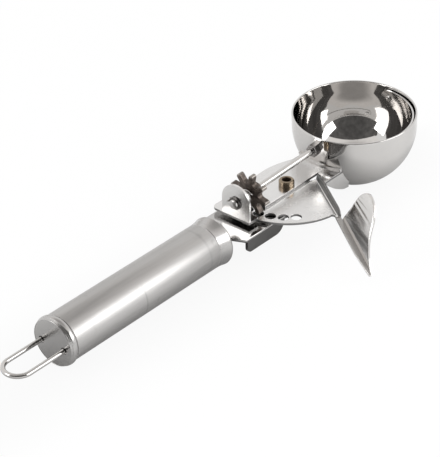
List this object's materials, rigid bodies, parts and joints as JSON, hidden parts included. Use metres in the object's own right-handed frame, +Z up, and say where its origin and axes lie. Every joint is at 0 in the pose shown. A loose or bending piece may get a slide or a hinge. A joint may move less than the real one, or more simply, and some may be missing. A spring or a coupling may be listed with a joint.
{
  "type": "lever ice cream scoop",
  "caption": "Hand scoop: polished round bowl on a capped tubular handle, with a thumb lever that turns a toothed wheel and rod to sweep a scraper blade round the bowl.",
  "frame": {"origin": "centre of the flat outer face of the handle's rear cap, on the handle's axis", "axes": "+X along the handle's axis towards the bowl, +Z up, out of the bowl's mouth, +Y away from the thumb lever"},
  "size_m": [0.263, 0.0935, 0.0373],
  "materials": {
    "handle_steel": "satin, brushed along the tube",
    "cap_steel": "satin, turned",
    "wire_steel": "polished wire",
    "block_metal": "cast, dull",
    "pin_steel": "ground",
    "frame_steel": "polished",
    "bush_brass": "worn, dull",
    "bush_steel": "turned, grey",
    "washer_steel": "plain",
    "lever_steel": "satin",
    "rod_steel": "polished",
    "wheel_metal": "dark brown, matt",
    "spring_steel": "plain wire",
    "bowl_steel": "mirror polished",
    "blade_steel": "polished strip"
  },
  "bodies": {
    "frame": {"handle_tube": "handle_steel", "rear_cap": "cap_steel", "front_cap": "cap_steel", "hanging_loop": "wire_steel", "tang_block": "block_metal", "tang_pin": "pin_steel", "base_plate": "frame_steel", "upper_plate": "frame_steel", "pivot_bush": "bush_brass", "pivot_washer": "washer_steel", "ear_washer": "washer_steel", "return_spring": "spring_steel", "rod_bush": "bush_steel", "bowl": "bowl_steel", "far_pivot_pin": "pin_steel"},
    "lever": {"lever_plate": "lever_steel"},
    "rod": {"rod": "rod_steel", "star_wheel": "wheel_metal", "wheel_pin": "pin_steel", "scraper_blade": "blade_steel"}
  },
  "joints": [
    {"name": "lever_swing", "type": "hinge", "parent": "frame", "child": "lever", "pos_m": [0.1535, 0, 0.00301], "axis": [0, 0, -1], "range_deg": [0, 46], "stiffness_Nm_per_rad": 0.25, "springref_deg": -34.38},
    {"name": "rod_spin", "type": "hinge", "parent": "frame", "child": "rod", "pos_m": [0.205, 0, 0.01605], "axis": [0.9991, 0, 0.0419], "range_deg": [0, 161.5], "deforming": ["return_spring"]}
  ],
  "couplings": [
    {"joint": "rod_spin", "follows": "lever_swing", "ratio": 3.5}
  ]
}
